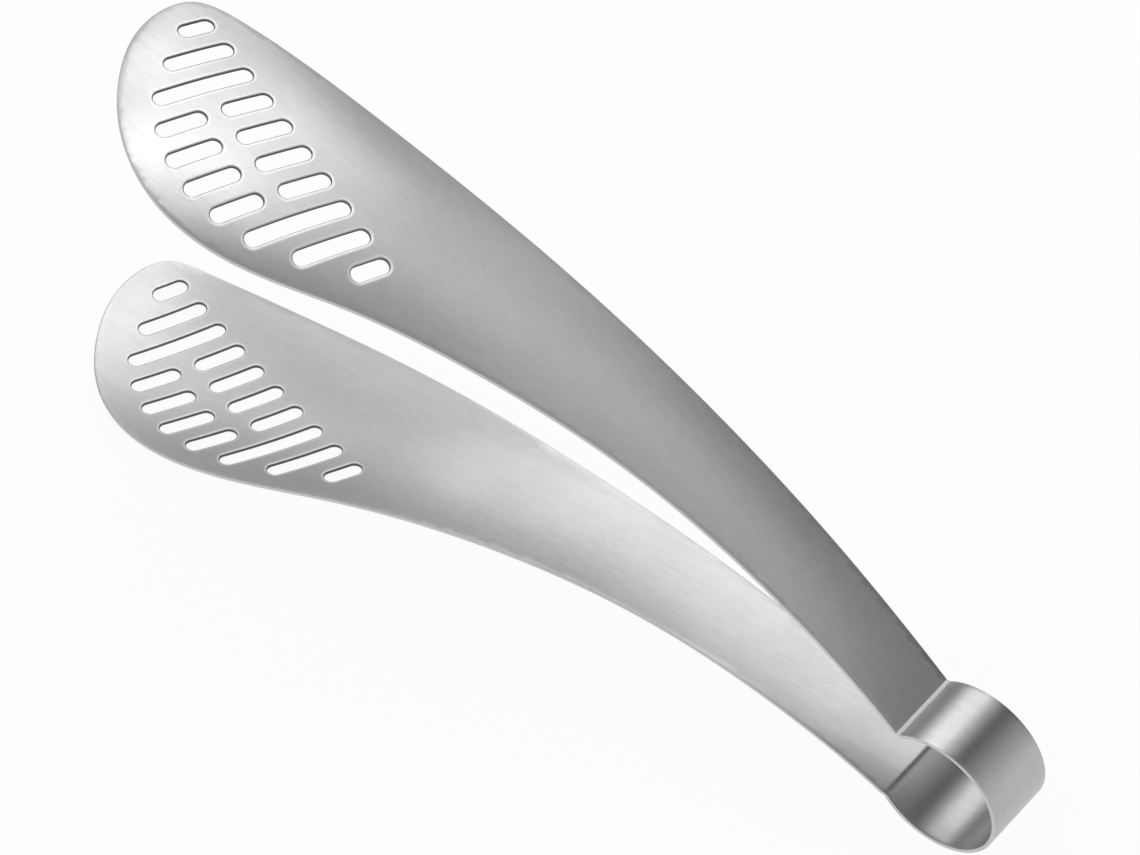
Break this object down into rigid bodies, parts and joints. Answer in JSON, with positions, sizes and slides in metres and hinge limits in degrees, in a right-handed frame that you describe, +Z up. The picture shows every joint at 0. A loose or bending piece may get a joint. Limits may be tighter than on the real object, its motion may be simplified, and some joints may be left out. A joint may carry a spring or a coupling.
{
  "type": "barbecue tongs",
  "caption": "Spring tongs folded from one stainless strip: slotted, leaf-shaped crowned jaws on slim arms joined by a round spring bow.",
  "frame": {"origin": "centre of the spring bow, on its axis, halfway across the strip", "axes": "-X points along the lying lower arm to the jaws, +Y runs across the strip to the straighter back edges and is the axis of the bow, +Z is up with the tongs lying on the bow and the lower arm"},
  "size_m": [0.274, 0.0576, 0.1053],
  "materials": {
    "stainless": "satin, faint lengthwise brushing"
  },
  "bodies": {
    "bow": {"spring_bow": "stainless"},
    "upper_arm": {"upper_arm": "stainless"},
    "lower_arm": {"lower_arm": "stainless"}
  },
  "joints": [
    {"name": "upper_arm_squeeze", "type": "hinge", "parent": "bow", "child": "upper_arm", "pos_m": [0.00533, 0, -0.0008], "axis": [0, -1, 0], "range_deg": [0, 10.9], "stiffness_Nm_per_rad": 8.4, "deforming": ["spring_bow"]},
    {"name": "lower_arm_squeeze", "type": "hinge", "parent": "bow", "child": "lower_arm", "pos_m": [0.00533, 0, -0.0008], "axis": [0, 1, 0], "range_deg": [0, 10.9], "stiffness_Nm_per_rad": 8.4, "deforming": ["spring_bow"]}
  ],
  "couplings": [
    {"joint": "lower_arm_squeeze", "follows": "upper_arm_squeeze", "ratio": 1}
  ]
}
